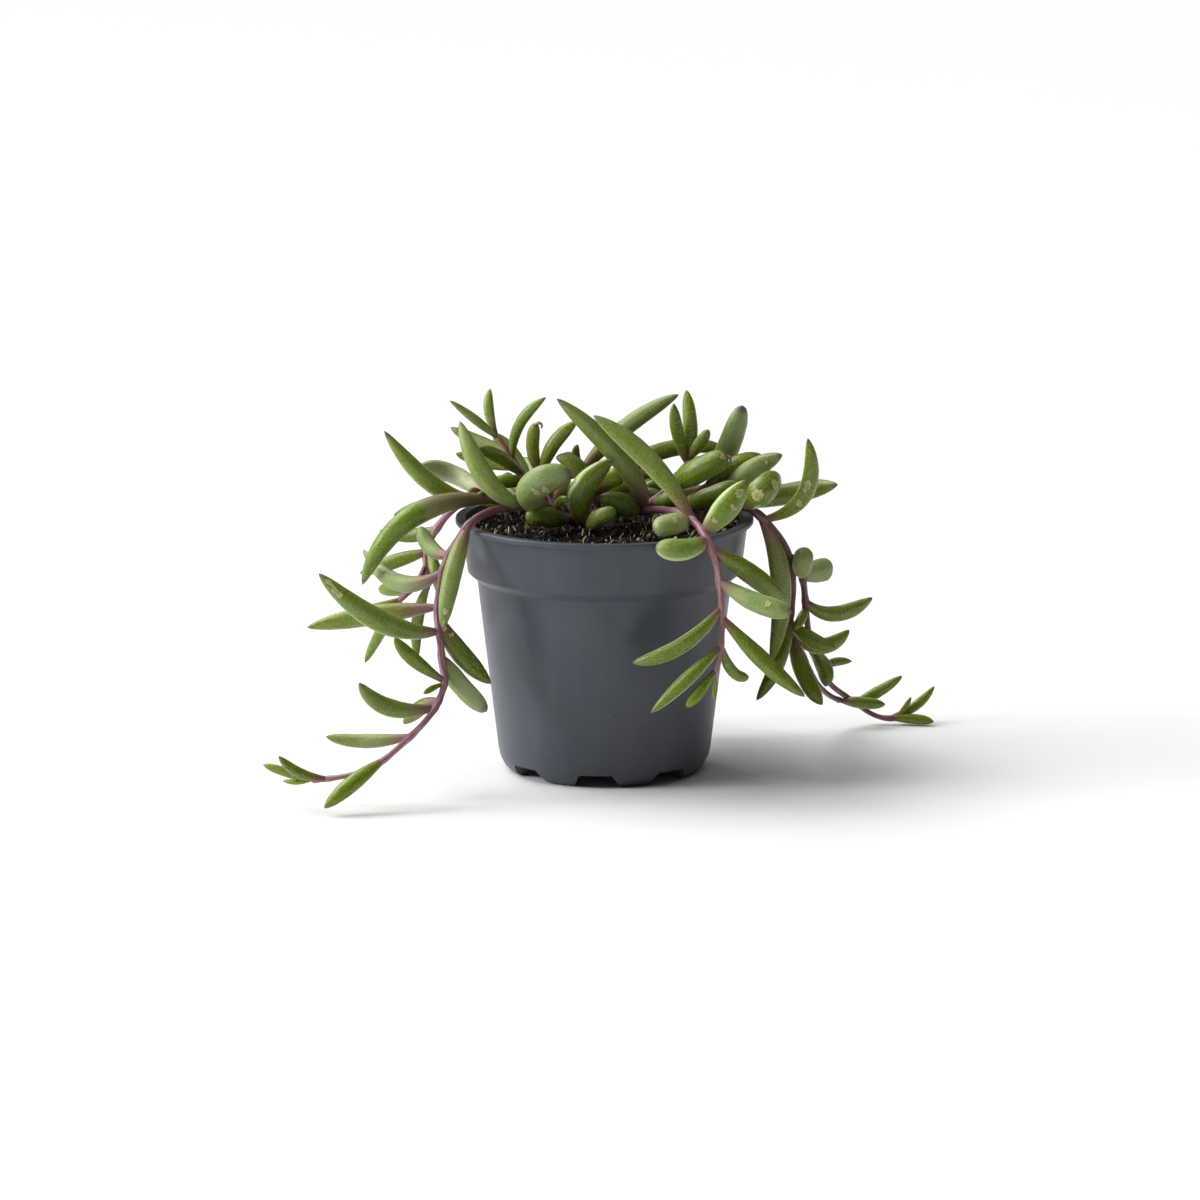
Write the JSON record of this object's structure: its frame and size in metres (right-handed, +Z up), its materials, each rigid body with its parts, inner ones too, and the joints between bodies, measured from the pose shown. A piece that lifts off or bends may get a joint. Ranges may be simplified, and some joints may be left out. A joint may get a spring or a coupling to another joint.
{
  "type": "potted trailing succulent",
  "caption": "Trailing succulent with fat spindle-shaped leaves on purple stems, in peat in a small grey nursery pot; stems arch over the rim, hang beside it and reach the floor.",
  "frame": {"origin": "on the surface the pot stands on, under the pot's axis, which is also within 1 mm of the middle of the whole plant", "axes": "+Z up along the pot's axis, +X to the right, -Y to the front, where the long stem that lies left and the one that hangs before the pot show"},
  "size_m": [0.2087, 0.1377, 0.1183],
  "materials": {
    "pot_plastic": "satin moulded polypropylene, blue-grey",
    "peat": "damp dark peat with pale specks",
    "foliage": "waxy green succulent leaves with purple feet, on mauve stems"
  },
  "bodies": {
    "root": {"pot": "pot_plastic", "soil": "peat", "stem_front_left": "foliage", "stem_left": "foliage", "shoot_left": "foliage", "shoot_left_middle": "foliage", "shoot_front": "foliage", "stem_front_right": "foliage", "shoot_right": "foliage", "shoot_back": "foliage", "shoot_right_middle": "foliage", "stem_right": "foliage", "stem_back_left": "foliage", "stem_back": "foliage", "stem_back_right": "foliage", "shoot_low_left": "foliage", "shoot_low_middle": "foliage", "shoot_low_right": "foliage"}
  },
  "joints": []
}
